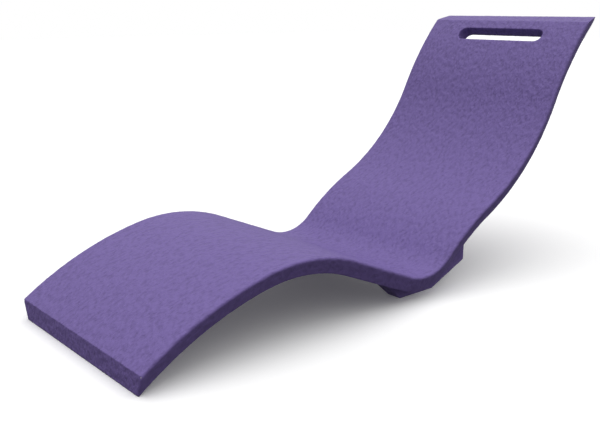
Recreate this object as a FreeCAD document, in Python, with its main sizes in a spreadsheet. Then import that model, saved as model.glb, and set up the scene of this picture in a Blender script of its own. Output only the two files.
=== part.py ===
import FreeCAD, Part
import math
import os

import Sketcher

# An S-shaped poolside chaise: a plank of closed-cell foam bent to a lounger's side profile,
# stiffened by two bent bars between its layers, raised on two foam rails under the seat, and
# sealed all over, rails and hand slot too, by one sprayed coat of vinyl.
# +X runs from the foot to the head, +Z is up. The origin is on the floor, in the middle.

V = FreeCAD.Vector

doc = FreeCAD.newDocument("chaise")
sheet = doc.addObject("Spreadsheet::Sheet", "dims")

DIMENSIONS = [
    ("foot_x", -916.4, "where the foot end is cut, upright"),
    ("foot_z", 58.3, "height of the lying surface at the foot end"),
    ("foot_slope", 35.1, "degrees that the surface climbs at the foot"),
    ("shin_radius", 1015, "gentle arch under the shins"),
    ("shin_turn", 23.1, "degrees it turns down"),
    ("knee_radius", 516, "crest under the knees"),
    ("knee_turn", 34.9, "degrees it turns down"),
    ("thigh_run", 246, "straight fall from the knees to the seat"),
    ("seat_radius", 157, "hollow that holds the hips"),
    ("seat_turn", 65.4, "degrees it turns up"),
    ("lumbar_radius", 857, "swell behind the waist"),
    ("lumbar_turn", 15.8, "degrees it turns down"),
    ("back_radius", 714, "hollow of the back"),
    ("back_turn", 36.4, "degrees it turns up"),
    ("head_radius", 999, "headrest, bent back again"),
    ("head_turn", 17.3, "degrees it turns down"),
    ("run_out", 120, "spare length at both ends, cut away"),
    ("head_cut", 14, "degrees that the head end's cut rises to the rear"),
    ("top_width", 672, "width of the lying surface, corner to corner"),
    ("side_draw", 23.5, "how far each side leans in towards the underside"),
    ("thickness", 50, "thickness of the plank with its coat"),
    ("edge_radius", 7, "rounding of the long upper edges"),
    ("tip_radius", 8.5, "rounding of the sharp rear edge at the head"),
    ("foot_radius", 3, "rounding all round the foot end"),
    ("skin", 1.5, "vinyl coat"),
    ("top_layer", 25, "depth of the joint between the foam layers"),
    ("slot_length", 364, "hand slot, across the board"),
    ("slot_width", 51, "hand slot, along the board"),
    ("slot_x", 799.9, "middle of the hand slot on the surface"),
    ("slot_z", 770.9, "middle of the hand slot on the surface"),
    ("slot_tilt", 34, "degrees that the slot falls to the rear"),
    ("rail_spread", 524, "base rails, from outer face to outer face"),
    ("rail_width", 50, "each rail, across the board"),
    ("rail_front", 19, "front end of a rail's flat sole"),
    ("rail_rear", 166, "rear end of the flat sole"),
    ("rail_front_rise", 41, "degrees of the front slope"),
    ("rail_tail_x", 319.5, "upright rear face of a rail"),
    ("rail_tail_z", 65, "lower edge of that rear face"),
    ("rail_front_radius", 10, "rounding at the front of the sole"),
    ("rail_rear_radius", 8, "rounding at the rear of the sole"),
    ("rail_tail_radius", 10, "rounding of the tail"),
    ("bar_width", 40, "stiffening bar, across the board"),
    ("bar_depth", 10, "stiffening bar, through the board"),
    ("bar_y", 170, "middle of each bar from the centre line"),
    ("bar_start", 100, "from the foot end to the bars"),
    ("bar_end_x", 688, "where the bars stop, below the hand slot"),
    ("strap_depth", 3, "cross strap"),
    ("strap_width", 40, "cross strap, measured along X"),
    ("shin_strap", 210, "from the foot end to the first cross strap"),
    ("thigh_strap", 640, "from the foot end to the second"),
    ("waist_strap", 1290, "from the foot end to the third"),
    ("head_strap", 1710, "from the foot end to the fourth"),
    ("rivet_radius", 3, "rivet shank"),
    ("rivet_head_radius", 7, "rivet head"),
    ("rivet_head_depth", 2, "rivet head"),
    ("rivet_seat_gap", 0.06, "flat rivet head off the curved metal"),
]
for row, (alias, value, note) in enumerate(DIMENSIONS, start=1):
    sheet.set(f"A{row}", alias)
    sheet.set(f"B{row}", str(value))
    sheet.set(f"C{row}", note)
    sheet.setAlias(f"B{row}", alias)
doc.recompute()

# upright cuts reach this far past the lounger: below it, above it and lengthways
CUT_LOW = -400.0
CUT_HIGH = 1400.0
CUT_FAR = 1600.0


def dim(alias):
    """The driving dimension as a number."""
    return float(sheet.get(alias))


def cell(alias):
    """The same dimension as a term of an expression."""
    return f"<<dims>>.{alias}"


# ---- the side profile: straight runs and arcs, each tangent to the last ----

def profile_runs():
    """(kind, size alias, turn alias, sense): sense is +1 where the surface turns up."""
    return [
        ("line", "run_out", None, 0),
        ("arc", "shin_radius", "shin_turn", -1),
        ("arc", "knee_radius", "knee_turn", -1),
        ("line", "thigh_run", None, 0),
        ("arc", "seat_radius", "seat_turn", 1),
        ("arc", "lumbar_radius", "lumbar_turn", -1),
        ("arc", "back_radius", "back_turn", 1),
        ("arc", "head_radius", "head_turn", -1),
        ("line", "run_out", None, 0),
    ]


def heading_vector(degrees):
    return V(math.cos(math.radians(degrees)), math.sin(math.radians(degrees)), 0)


def left_of(direction):
    return V(-direction.y, direction.x, 0)


def trace_profile():
    """Each run as (kind, start, end, centre, heading in, heading out, radius), in X and Z."""
    slope = dim("foot_slope")
    point = V(dim("foot_x"), dim("foot_z"), 0) - heading_vector(slope) * dim("run_out")
    traced = []
    for kind, size, turn, sense in profile_runs():
        start, entry = point, slope
        if kind == "line":
            point = start + heading_vector(slope) * dim(size)
            traced.append((kind, start, point, None, entry, slope, 0.0))
            continue
        centre = start + left_of(heading_vector(slope)) * dim(size) * sense
        slope = slope + sense * dim(turn)
        point = centre - left_of(heading_vector(slope)) * dim(size) * sense
        traced.append((kind, start, point, centre, entry, slope, dim(size)))
    return traced


PROFILE = trace_profile()
HEAD_CORNER = PROFILE[-2][2]


def point_at(length):
    """Point and heading on the lying surface, a length along it from the foot end."""
    for kind, start, end, centre, entry, leave, radius in PROFILE[1:]:
        run = (end - start).Length if kind == "line" else radius * math.radians(abs(leave - entry))
        if length <= run:
            break
        length -= run
    if kind == "line":
        return start + heading_vector(entry) * length, entry
    sense = 1 if leave > entry else -1
    slope = entry + sense * math.degrees(length / radius)
    return centre - left_of(heading_vector(slope)) * radius * sense, slope


# ---- helpers for bodies and sketches ----

def origin_plane(body, role):
    return next(f for f in body.Origin.OriginFeatures if f.Role == role)


def new_sketch(body, role, name):
    sketch = body.newObject("Sketcher::SketchObject", name)
    sketch.AttachmentSupport = [(origin_plane(body, role), "")]
    sketch.MapMode = "FlatFace"
    return sketch


def bind(sketch, index, name, expression):
    sketch.renameConstraint(index, name)
    sketch.setExpression(f"Constraints.{name}", expression)


def draw_path(body, name):
    """The side profile as a sketch: a chain of tangent lines and arcs set by the sheet."""
    sketch = new_sketch(body, "XZ_Plane", name)
    tail = []
    for index, (kind, start, end, centre, entry, leave, radius) in enumerate(PROFILE):
        size, turn = profile_runs()[index][1:3]
        if kind == "line":
            geo = sketch.addGeometry(Part.LineSegment(start, end))
            enter, leave_at = 1, 2
            con = sketch.addConstraint(Sketcher.Constraint("Distance", geo, dim(size)))
            bind(sketch, con, f"run_{index}", cell(size))
        else:
            upturn = leave > entry
            first, last = (start, end) if upturn else (end, start)
            angles = [math.atan2(p.y - centre.y, p.x - centre.x) for p in (first, last)]
            circle = Part.Circle(centre, V(0, 0, 1), radius)
            geo = sketch.addGeometry(Part.ArcOfCircle(circle, angles[0], angles[1]))
            enter, leave_at = (1, 2) if upturn else (2, 1)
            con = sketch.addConstraint(Sketcher.Constraint("Radius", geo, radius))
            bind(sketch, con, f"radius_{index}", cell(size))
            span = math.radians(dim(turn))
            con = sketch.addConstraint(Sketcher.Constraint("Angle", geo, span))
            bind(sketch, con, f"turn_{index}", f"{cell(turn)} * 1 deg")
        if tail:
            sketch.addConstraint(Sketcher.Constraint("Tangent", tail[0], tail[1], geo, enter))
        else:
            slope = math.radians(dim("foot_slope"))
            con = sketch.addConstraint(Sketcher.Constraint("Angle", geo, slope))
            bind(sketch, con, "slope", f"{cell('foot_slope')} * 1 deg")
            con = sketch.addConstraint(Sketcher.Constraint("DistanceX", -1, 1, geo, 2, end.x))
            bind(sketch, con, "foot_x", cell("foot_x"))
            con = sketch.addConstraint(Sketcher.Constraint("DistanceY", -1, 1, geo, 2, end.y))
            bind(sketch, con, "foot_z", cell("foot_z"))
        tail = (geo, leave_at)
    return sketch


def place_section(sketch):
    """Stand a cross-section sketch square to the start of the path."""
    slope = f"{cell('foot_slope')} * 1 deg"
    sketch.AttachmentOffset = FreeCAD.Placement(V(0, 0, 0), FreeCAD.Rotation(V(1, 0, 0), -1))
    offset_x = f"{cell('foot_x')} - {cell('run_out')} * cos({slope})"
    offset_z = f"{cell('foot_z')} - {cell('run_out')} * sin({slope})"
    sketch.setExpression("AttachmentOffset.Base.y", offset_z)
    sketch.setExpression("AttachmentOffset.Base.z", offset_x)
    sketch.setExpression("AttachmentOffset.Rotation.Angle", f"-{cell('foot_slope')}")


def sweep(body, section, path):
    """Carry a section along the flat path, square to it all the way."""
    pipe = body.newObject("PartDesign::AdditivePipe", f"{body.Name}_pipe")
    pipe.Profile = section
    pipe.Spine = (path, [])
    pipe.Mode = "Standard"
    section.Visibility = False
    path.Visibility = False
    return pipe


def draw_polygon(sketch, points):
    """A closed outline of straight edges, joined corner to corner."""
    edges = []
    for start, end in zip(points, points[1:] + points[:1]):
        edges.append(sketch.addGeometry(Part.LineSegment(start, end)))
    for first, second in zip(edges, edges[1:] + edges[:1]):
        sketch.addConstraint(Sketcher.Constraint("Coincident", first, 2, second, 1))
    return edges


def pin_corner(sketch, edge, name, x_term, z_term, point):
    """Hold the start of an edge at a place given by two expressions."""
    con = sketch.addConstraint(Sketcher.Constraint("DistanceX", -1, 1, edge, 1, point.x))
    bind(sketch, con, f"{name}_x", x_term)
    con = sketch.addConstraint(Sketcher.Constraint("DistanceY", -1, 1, edge, 1, point.y))
    bind(sketch, con, f"{name}_z", z_term)


def draw_corners(sketch, corners):
    """A polygon whose every corner is (x expression, z expression, x value, z value)."""
    points = [V(x, z, 0) for _, _, x, z in corners]
    edges = draw_polygon(sketch, points)
    for number, (edge, corner, point) in enumerate(zip(edges, corners, points)):
        pin_corner(sketch, edge, f"corner_{number}", corner[0], corner[1], point)
    return edges


def cut_through(body, sketch, name):
    """Pocket a sketch right through the body, both ways from its plane."""
    before = body.Tip.Shape.Volume
    pocket = body.newObject("PartDesign::Pocket", name)
    pocket.Profile = sketch
    pocket.Type = "ThroughAll"
    pocket.Midplane = True
    sketch.Visibility = False
    doc.recompute()
    if pocket.Shape.Volume > before - 1.0:
        raise RuntimeError(f"{name} removes nothing")
    return pocket


def edges_where(shape, test):
    """Names of the edges whose two ends and middle all pass a test."""
    names = []
    for number, edge in enumerate(shape.Edges, start=1):
        middle = edge.valueAt((edge.FirstParameter + edge.LastParameter) / 2)
        if all(test(p) for p in [v.Point for v in edge.Vertexes] + [middle]):
            names.append(f"Edge{number}")
    return names


def round_edges(body, name, radius_term, test):
    """Fillet the edges that pass the test with one radius."""
    edges = edges_where(body.Tip.Shape, test)
    if not edges:
        raise RuntimeError(f"{name} finds no edge")
    fillet = body.newObject("PartDesign::Fillet", name)
    fillet.Base = (fillet.BaseFeature, edges)
    fillet.setExpression("Radius", radius_term)
    doc.recompute()
    return fillet


# ---- the plank: one function makes its outside and, set in by the coat, its foam ----

def board_section(body, name, coats):
    """Trapezium, wider above than below, with its upper corners rounded.

    coats is 0 for the outside of the vinyl and 1 for the foam just inside it.
    """
    sketch = new_sketch(body, "YZ_Plane", name)
    place_section(sketch)
    inset = coats * dim("skin")
    lean = dim("side_draw") / dim("thickness")
    top = -inset
    bottom = inset - dim("thickness")
    half_bottom = dim("top_width") / 2 + lean * bottom - inset * math.hypot(1, lean)
    half_top = half_bottom + lean * (top - bottom)
    radius = dim("edge_radius") - inset
    side_angle = math.atan2(1, lean)
    back_off = radius / math.tan(side_angle / 2)
    fall = V(-math.cos(side_angle), -math.sin(side_angle), 0) * back_off

    def both(point):
        return V(-point.x, point.y, 0), point

    flat_left, flat_right = both(V(half_top - back_off, top, 0))
    side_left, side_right = both(V(half_top, top, 0) + fall)
    foot_left, foot_right = both(V(half_bottom, bottom, 0))
    centre_left, centre_right = both(V(half_top - back_off, top - radius, 0))
    low = side_angle - math.pi / 2
    up = V(0, 0, 1)
    add = sketch.addGeometry
    outline = [
        add(Part.LineSegment(flat_right, flat_left)),
        add(Part.ArcOfCircle(Part.Circle(centre_left, up, radius), math.pi / 2, math.pi - low)),
        add(Part.LineSegment(side_left, foot_left)),
        add(Part.LineSegment(foot_left, foot_right)),
        add(Part.LineSegment(foot_right, side_right)),
        add(Part.ArcOfCircle(Part.Circle(centre_right, up, radius), low, math.pi / 2)),
    ]
    top_line, left_arc, left_side, under, right_side, right_arc = outline
    rule = sketch.addConstraint
    for first, second in zip(outline, outline[1:] + outline[:1]):
        kind = "Coincident" if under in (first, second) else "Tangent"
        rule(Sketcher.Constraint(kind, first, 2, second, 1))
    rule(Sketcher.Constraint("Horizontal", top_line))
    rule(Sketcher.Constraint("Symmetric", under, 1, under, 2, -2))
    rule(Sketcher.Constraint("Equal", left_side, right_side))
    rule(Sketcher.Constraint("Equal", left_arc, right_arc))
    inset_term = f"{coats} * {cell('skin')}"
    lean_term = f"{cell('side_draw')} / {cell('thickness')}"
    if coats:
        con = rule(Sketcher.Constraint("DistanceY", -1, 1, top_line, 1, top))
        bind(sketch, con, "surface", f"-({inset_term})")
    else:
        rule(Sketcher.Constraint("PointOnObject", top_line, 1, -1))
    con = rule(Sketcher.Constraint("DistanceY", -1, 1, under, 2, bottom))
    bind(sketch, con, "underside", f"{inset_term} - {cell('thickness')}")
    con = rule(Sketcher.Constraint("DistanceX", -1, 1, under, 2, half_bottom))
    bind(sketch, con, "half_underside",
         f"{cell('top_width')} / 2 + {lean_term} * ({inset_term} - {cell('thickness')})"
         f" - {inset_term} * sqrt(1 + ({lean_term}) ^ 2)")
    con = rule(Sketcher.Constraint("Angle", right_side, side_angle))
    bind(sketch, con, "side_lean", f"atan({cell('thickness')} / {cell('side_draw')})")
    con = rule(Sketcher.Constraint("Radius", right_arc, radius))
    bind(sketch, con, "edge_radius", f"{cell('edge_radius')} - {inset_term}")
    return sketch


def upright_window(at_x, at_term, far):
    """Corners of a tall window from one upright line out to a far X, for draw_corners."""
    return [
        (at_term, str(CUT_LOW), at_x, CUT_LOW),
        (at_term, str(CUT_HIGH), at_x, CUT_HIGH),
        (str(far), str(CUT_HIGH), far, CUT_HIGH),
        (str(far), str(CUT_LOW), far, CUT_LOW),
    ]


def cut_ends(body, coats):
    """Cut the foot end upright and the head end on a shallow rise to the rear."""
    inset = coats * dim("skin")
    inset_term = f"{coats} * {cell('skin')}"
    foot = new_sketch(body, "XZ_Plane", f"{body.Name}_foot_cut")
    foot_x = dim("foot_x") + inset
    foot_term = f"{cell('foot_x')} + {inset_term}"
    draw_corners(foot, upright_window(foot_x, foot_term, -CUT_FAR))
    cut_through(body, foot, f"{body.Name}_foot_end")
    # the head end's cut passes through the profile's last corner and rises to the rear
    along = heading_vector(dim("head_cut"))
    corner = HEAD_CORNER - left_of(along) * inset
    reach = along * dim("top_width") / 2
    lift = V(0, dim("top_width"), 0)
    head = new_sketch(body, "XZ_Plane", f"{body.Name}_head_cut")
    edges = draw_polygon(head, [corner - reach, corner + reach,
                                corner + reach + lift, corner - reach + lift])
    rise = math.radians(dim("head_cut"))
    con = head.addConstraint(Sketcher.Constraint("Angle", edges[0], rise))
    bind(head, con, "rise", f"{cell('head_cut')} * 1 deg")
    cut_through(body, head, f"{body.Name}_head_end")


def cut_slot(body, coats):
    """Hand slot with round ends, cut on a slant: seen from the front it runs along Y."""
    grow = coats * dim("skin")
    grow_term = f"{coats} * {cell('skin')}"
    half_run = (dim("slot_length") - dim("slot_width")) / 2
    radius = dim("slot_width") / 2 + grow
    sketch = new_sketch(body, "YZ_Plane", f"{body.Name}_slot_outline")
    sketch.AttachmentOffset = FreeCAD.Placement(V(0, 0, 0), FreeCAD.Rotation(V(1, 0, 0), 1))
    sketch.setExpression("AttachmentOffset.Base.y", cell("slot_z"))
    sketch.setExpression("AttachmentOffset.Base.z", cell("slot_x"))
    sketch.setExpression("AttachmentOffset.Rotation.Angle", cell("slot_tilt"))
    up = V(0, 0, 1)
    right = sketch.addGeometry(Part.ArcOfCircle(
        Part.Circle(V(half_run, 0, 0), up, radius), -math.pi / 2, math.pi / 2))
    top = sketch.addGeometry(Part.LineSegment(V(half_run, radius, 0), V(-half_run, radius, 0)))
    left = sketch.addGeometry(Part.ArcOfCircle(
        Part.Circle(V(-half_run, 0, 0), up, radius), math.pi / 2, 3 * math.pi / 2))
    low = sketch.addGeometry(Part.LineSegment(V(-half_run, -radius, 0), V(half_run, -radius, 0)))
    rule = sketch.addConstraint
    for first, second in ((right, top), (top, left), (left, low), (low, right)):
        rule(Sketcher.Constraint("Tangent", first, 2, second, 1))
    rule(Sketcher.Constraint("PointOnObject", right, 3, -1))
    rule(Sketcher.Constraint("Symmetric", right, 3, left, 3, -1, 1))
    con = rule(Sketcher.Constraint("Radius", right, radius))
    bind(sketch, con, "end_radius", f"{cell('slot_width')} / 2 + {grow_term}")
    con = rule(Sketcher.Constraint("DistanceX", -1, 1, right, 3, half_run))
    bind(sketch, con, "half_run", f"({cell('slot_length')} - {cell('slot_width')}) / 2")
    cut_through(body, sketch, f"{body.Name}_slot")


def board_form(name, coats):
    """The whole plank: swept section, cut ends, rounded rear tip, hand slot."""
    body = doc.addObject("PartDesign::Body", name)
    path = draw_path(body, f"{name}_path")
    section = board_section(body, f"{name}_section", coats)
    doc.recompute()
    sweep(body, section, path)
    doc.recompute()
    cut_ends(body, coats)
    highest = body.Tip.Shape.BoundBox.ZMax - 0.5
    round_edges(body, f"{name}_tip", f"{cell('tip_radius')} - {coats} * {cell('skin')}",
                lambda p: p.z > highest)
    foot_face = dim("foot_x") + coats * dim("skin")
    round_edges(body, f"{name}_foot_rim", f"{cell('foot_radius')} - {coats} * {cell('skin')}",
                lambda p: abs(p.x - foot_face) < 0.01)
    cut_slot(body, coats)
    return body


# ---- the base: two rails under the seat, one near each side ----

def length_to(x):
    """Length along the lying surface from the foot end to where it reaches this X."""
    low, high = 0.0, -2 * dim("foot_x")
    while high - low > 0.01:
        middle = (low + high) / 2
        low, high = (middle, high) if point_at(middle)[0].x < x else (low, middle)
    return low


def below_surface(length, depth):
    """Point at a depth square under the lying surface."""
    point, slope = point_at(length)
    return point - left_of(heading_vector(slope)) * depth


def rail_corners(coats):
    """Side view of a rail: flat sole, long front slope, shallow tail, upright rear.

    Its top runs along the middle of the plank, which is joined to it or cut out of it.
    """
    inset = coats * dim("skin")
    half_depth = dim("thickness") / 2
    rise = math.radians(dim("rail_front_rise"))
    tail_rise = math.atan2(dim("rail_tail_z"), dim("rail_tail_x") - dim("rail_rear"))
    front_x = dim("rail_front") + inset * math.tan(rise / 2)
    rear_x = dim("rail_rear") - inset * math.tan(tail_rise / 2)
    tail_x = dim("rail_tail_x") - inset
    tail_z = inset + (tail_x - rear_x) * math.tan(tail_rise)
    seat_start, seat_end = [length_to(p.x) for p in PROFILE[4][1:3]]
    seat_lengths = [seat_end, (seat_start + seat_end) / 2, seat_start]
    top = [below_surface(length, half_depth) for length in seat_lengths]
    tail_length = length_to(tail_x) + half_depth
    tail_top = V(tail_x, below_surface(tail_length, half_depth).y - half_depth / 4, 0)
    thigh = heading_vector(PROFILE[3][4])
    front_slope = V(-math.cos(rise), math.sin(rise), 0)
    start = V(front_x, inset, 0)
    gap = top[-1] - start
    cross = thigh.x * front_slope.y - thigh.y * front_slope.x
    front_run = (thigh.x * gap.y - thigh.y * gap.x) / cross
    front_top = start + front_slope * front_run
    return [start, V(rear_x, inset, 0), V(tail_x, tail_z, 0), tail_top, *top, front_top]


def rail_form(name, coats, side):
    """A rail on the left (-1) or right (+1), before the plank is taken out of its top."""
    body = doc.addObject("PartDesign::Body", name)
    sketch = new_sketch(body, "XZ_Plane", f"{name}_side")
    out = f"({cell('rail_spread')} - {cell('rail_width')}) / 2"
    sketch.setExpression("AttachmentOffset.Base.z", f"{-side} * {out}")
    corners = rail_corners(coats)
    edges = draw_polygon(sketch, corners)
    inset_term = f"{coats} * {cell('skin')}"
    front_term = f"{cell('rail_front')} + {inset_term} * tan({cell('rail_front_rise')} * 0.5 deg)"
    pin_corner(sketch, edges[0], "front", front_term, inset_term, corners[0])
    if not coats:
        pin_corner(sketch, edges[1], "rear", cell("rail_rear"), inset_term, corners[1])
        pin_corner(sketch, edges[2], "tail", cell("rail_tail_x"), cell("rail_tail_z"), corners[2])
    doc.recompute()
    pad = body.newObject("PartDesign::Pad", f"{name}_pad")
    pad.Profile = sketch
    pad.Midplane = True
    pad.setExpression("Length", f"{cell('rail_width')} - 2 * {inset_term}")
    sketch.Visibility = False
    doc.recompute()
    for label, corner in zip(("front", "rear", "tail"), corners):
        at_x, at_z = corner.x, corner.y
        round_edges(body, f"{name}_{label}_round", f"{cell(f'rail_{label}_radius')} - {inset_term}",
                    lambda p: abs(p.x - at_x) < 0.01 and abs(p.z - at_z) < 0.01)
    return body


# ---- bands: level-sided strips swept along the same path, used for bars and joints ----

def band(name, y_term, y_value, half_term, half_value, top_term, top_value, low_term, low_value):
    """A strip between two depths under the lying surface and two lines along the board."""
    body = doc.addObject("PartDesign::Body", name)
    path = draw_path(body, f"{name}_path")
    sketch = new_sketch(body, "YZ_Plane", f"{name}_section")
    place_section(sketch)
    left, right = y_value - half_value, y_value + half_value
    left_term, right_term = f"{y_term} - ({half_term})", f"{y_term} + ({half_term})"
    draw_corners(sketch, [
        (left_term, f"-({low_term})", left, -low_value),
        (right_term, f"-({low_term})", right, -low_value),
        (right_term, f"-({top_term})", right, -top_value),
        (left_term, f"-({top_term})", left, -top_value),
    ])
    doc.recompute()
    sweep(body, sketch, path)
    doc.recompute()
    return body


def trim_lengthways(body, start_x, start_term, end_x, end_term):
    """Cut a band upright at both ends."""
    for side, at_x, term, far in (("start", start_x, start_term, -CUT_FAR),
                                  ("end", end_x, end_term, CUT_FAR)):
        sketch = new_sketch(body, "XZ_Plane", f"{body.Name}_{side}_cut")
        draw_corners(sketch, upright_window(at_x, term, far))
        cut_through(body, sketch, f"{body.Name}_{side}_trim")


def boolean(kind, name, base, tool):
    """A Part boolean of two objects."""
    result = doc.addObject(f"Part::{kind}", name)
    result.Base = base
    result.Tool = tool
    doc.recompute()
    return result


def fuse_all(name, members):
    group = doc.addObject("Part::MultiFuse", name)
    group.Shapes = members
    doc.recompute()
    return group


# ---- the assembly ----

SIDES = {"left": -1, "right": 1}
board_outside = board_form("board_outside", 0)
board_inside = board_form("board_inside", 1)
rails_outside = {side: rail_form(f"rail_outside_{side}", 0, sign) for side, sign in SIDES.items()}
rails_inside = {side: rail_form(f"rail_inside_{side}", 1, sign) for side, sign in SIDES.items()}

# the coat is one film on the real lounger; it is kept as three pieces that meet where the
# rails leave the plank, so that each can be handled as a simple shape
whole_inside = fuse_all("whole_inside", [board_inside, *rails_inside.values()])
board_skin = boolean("Cut", "board_skin", board_outside, whole_inside)


def make_rail_skin(side):
    below = boolean("Cut", f"rail_below_{side}", rails_outside[side], board_outside)
    return boolean("Cut", f"rail_skin_{side}", below, rails_inside[side])


def make_rail_foam(side):
    return boolean("Cut", f"rail_foam_{side}", rails_inside[side], board_inside)


rail_skins = {side: make_rail_skin(side) for side in SIDES}
rail_foams = {side: make_rail_foam(side) for side in SIDES}


# bent stiffening bars lie in channels in the lower foam, just under the joint
def make_bar(name, side):
    body = band(name, f"{side} * {cell('bar_y')}", side * dim("bar_y"),
                f"{cell('bar_width')} / 2", dim("bar_width") / 2,
                cell("top_layer"), dim("top_layer"),
                f"{cell('top_layer')} + {cell('bar_depth')}", dim("top_layer") + dim("bar_depth"))
    trim_lengthways(body, dim("foot_x") + dim("bar_start"),
                    f"{cell('foot_x')} + {cell('bar_start')}",
                    dim("bar_end_x"), cell("bar_end_x"))
    return body


bars = {side: make_bar(f"bar_{side}_blank", sign) for side, sign in SIDES.items()}

# cross straps run under both bars
STRAP_LENGTHS = [dim(f"{place}_strap") for place in ("shin", "thigh", "waist", "head")]
strap_band = band("strap_band", "0", 0.0,
                  f"{cell('bar_y')} + {cell('bar_width')} / 2", dim("bar_y") + dim("bar_width") / 2,
                  f"{cell('top_layer')} + {cell('bar_depth')}", dim("top_layer") + dim("bar_depth"),
                  f"{cell('top_layer')} + {cell('bar_depth')} + {cell('strap_depth')}",
                  dim("top_layer") + dim("bar_depth") + dim("strap_depth"))


def make_strap(number, length):
    """One strap: the slice of the strap band between two upright planes."""
    middle = below_surface(length, dim("top_layer") + dim("bar_depth"))
    window = doc.addObject("Part::Box", f"strap_window_{number}")
    window.setExpression("Length", cell("strap_width"))
    window.setExpression("Width", cell("top_width"))
    window.Height = CUT_HIGH - CUT_LOW
    half = f"{cell('strap_width')} / 2"
    window.setExpression("Placement.Base.x", f"{middle.x:.2f} - {half}")
    window.setExpression("Placement.Base.y", f"-{cell('top_width')} / 2")
    window.Placement.Base.z = CUT_LOW
    return boolean("Common", f"strap_blank_{number}", strap_band, window)


straps = {n: make_strap(n, length) for n, length in enumerate(STRAP_LENGTHS, start=1)}


# rivets hold each strap to each bar, one at every crossing
def rivet_pieces(length, side):
    """One rivet square to the surface: its shank, its fused shape and its two recesses.

    The flat heads stand a hair off the curved bar and strap, and the foam is recessed for them.
    """
    depth = dim("bar_depth") + dim("strap_depth")
    head = dim("rivet_head_depth")
    radius = dim("rivet_head_radius")
    hair = dim("rivet_seat_gap")
    inward = left_of(heading_vector(point_at(length)[1])) * -1
    down = V(inward.x, 0, inward.y)
    top = below_surface(length, dim("top_layer"))
    start = V(top.x, side * dim("bar_y"), top.y)
    shank = Part.makeCylinder(dim("rivet_radius"), depth + 2 * head, start - down * head, down)
    upper = Part.makeCylinder(radius, head - hair, start - down * head, down)
    lower = Part.makeCylinder(radius, head - hair, start + down * (depth + hair), down)
    recesses = [Part.makeCylinder(radius, head * 1.5, start + down * at, down)
                for at in (-head, depth - head / 2)]
    return shank, shank.fuse([upper, lower]).removeSplitter(), recesses


def shape_object(name, shapes):
    item = doc.addObject("Part::Feature", name)
    item.Shape = Part.makeCompound(shapes)
    return item


rivet_sets = [rivet_pieces(length, sign) for length in STRAP_LENGTHS for sign in SIDES.values()]
shanks = shape_object("rivet_shanks", [shank for shank, _, _ in rivet_sets])
rivets = shape_object("rivets", [rivet for _, rivet, _ in rivet_sets])
recesses = shape_object("rivet_recesses", [r for _, _, pair in rivet_sets for r in pair])

stiffener_bars = {side: boolean("Cut", f"stiffener_bar_{side}", blank, shanks)
                  for side, blank in bars.items()}
cross_straps = {number: boolean("Cut", f"cross_strap_{number}", blank, shanks)
                for number, blank in straps.items()}


frame_metal = fuse_all("frame_blank", list(bars.values()) + list(straps.values()))

# the foam sheets meet on a joint that follows the lying surface
joint_band = band("joint_band", "0", 0.0, f"{cell('top_width')}", dim("top_width"),
                  f"-{cell('skin')}", -dim("skin"), cell("top_layer"), dim("top_layer"))
top_blank = boolean("Common", "top_blank", board_inside, joint_band)
top_foam = boolean("Cut", "top_foam", top_blank, recesses)
core_blank = boolean("Cut", "core_blank", board_inside, joint_band)
core_recessed = boolean("Cut", "core_recessed", core_blank, recesses)
core_foam = boolean("Cut", "core_foam", core_recessed, frame_metal)
doc.recompute()

NODES = {"board_skin": board_skin, "top_foam": top_foam, "core_foam": core_foam, "rivets": rivets}
for side in SIDES:
    NODES[f"rail_skin_{side}"] = rail_skins[side]
    NODES[f"rail_foam_{side}"] = rail_foams[side]
    NODES[f"stiffener_bar_{side}"] = stiffener_bars[side]
for number, strap in cross_straps.items():
    NODES[f"cross_strap_{number}"] = strap

# ---- check and write ----

for item in doc.Objects:
    if {"Invalid", "Error"} & set(item.State):
        raise RuntimeError(f"{item.Name} did not compute: {item.State}")

os.makedirs("parts", exist_ok=True)
for node, item in NODES.items():
    item.Label = node
    shape = item.Shape
    if shape.isNull() or not shape.isValid() or not shape.Solids:
        raise RuntimeError(f"{node} is not a valid solid")
    shape.exportStep(f"parts/{node}.step")
    box = shape.optimalBoundingBox(False, False)
    print(f"{node}: {len(shape.Solids)} solid(s), {shape.Volume / 1000:.1f} cm3, "
          f"X {box.XMin:.1f}..{box.XMax:.1f}  Y {box.YMin:.1f}..{box.YMax:.1f}  "
          f"Z {box.ZMin:.2f}..{box.ZMax:.2f}")
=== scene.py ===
# %% [markdown]
# # A vinyl-coated foam chaise
# The lounger is one long plank of closed-cell foam, bent to the shape of a lying body, on two foam
# rails under the seat. A sprayed vinyl coat seals everything. Bars, straps and rivets that keep
# the foam in shape are out of sight inside it. The frame, loaded first, holds every piece at its
# real size in metres: +X runs from the foot to the head, +Z is up and the floor is at zero.

# %% The frame
import math

import bpy
import numpy as np
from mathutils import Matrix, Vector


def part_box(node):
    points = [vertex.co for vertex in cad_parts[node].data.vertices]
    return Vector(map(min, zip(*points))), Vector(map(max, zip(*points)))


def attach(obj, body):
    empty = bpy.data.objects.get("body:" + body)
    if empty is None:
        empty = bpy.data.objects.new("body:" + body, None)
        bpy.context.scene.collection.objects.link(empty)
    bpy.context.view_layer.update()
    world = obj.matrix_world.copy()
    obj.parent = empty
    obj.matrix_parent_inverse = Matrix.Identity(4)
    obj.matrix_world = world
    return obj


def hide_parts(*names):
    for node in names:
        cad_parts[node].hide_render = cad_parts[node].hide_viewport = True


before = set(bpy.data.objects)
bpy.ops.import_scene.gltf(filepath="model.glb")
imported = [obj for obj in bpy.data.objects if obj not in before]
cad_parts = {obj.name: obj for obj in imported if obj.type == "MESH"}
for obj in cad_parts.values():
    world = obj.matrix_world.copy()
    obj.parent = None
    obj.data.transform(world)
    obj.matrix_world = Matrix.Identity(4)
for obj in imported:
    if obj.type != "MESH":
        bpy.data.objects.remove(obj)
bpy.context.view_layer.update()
board_low, board_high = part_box("board_skin")
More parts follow.
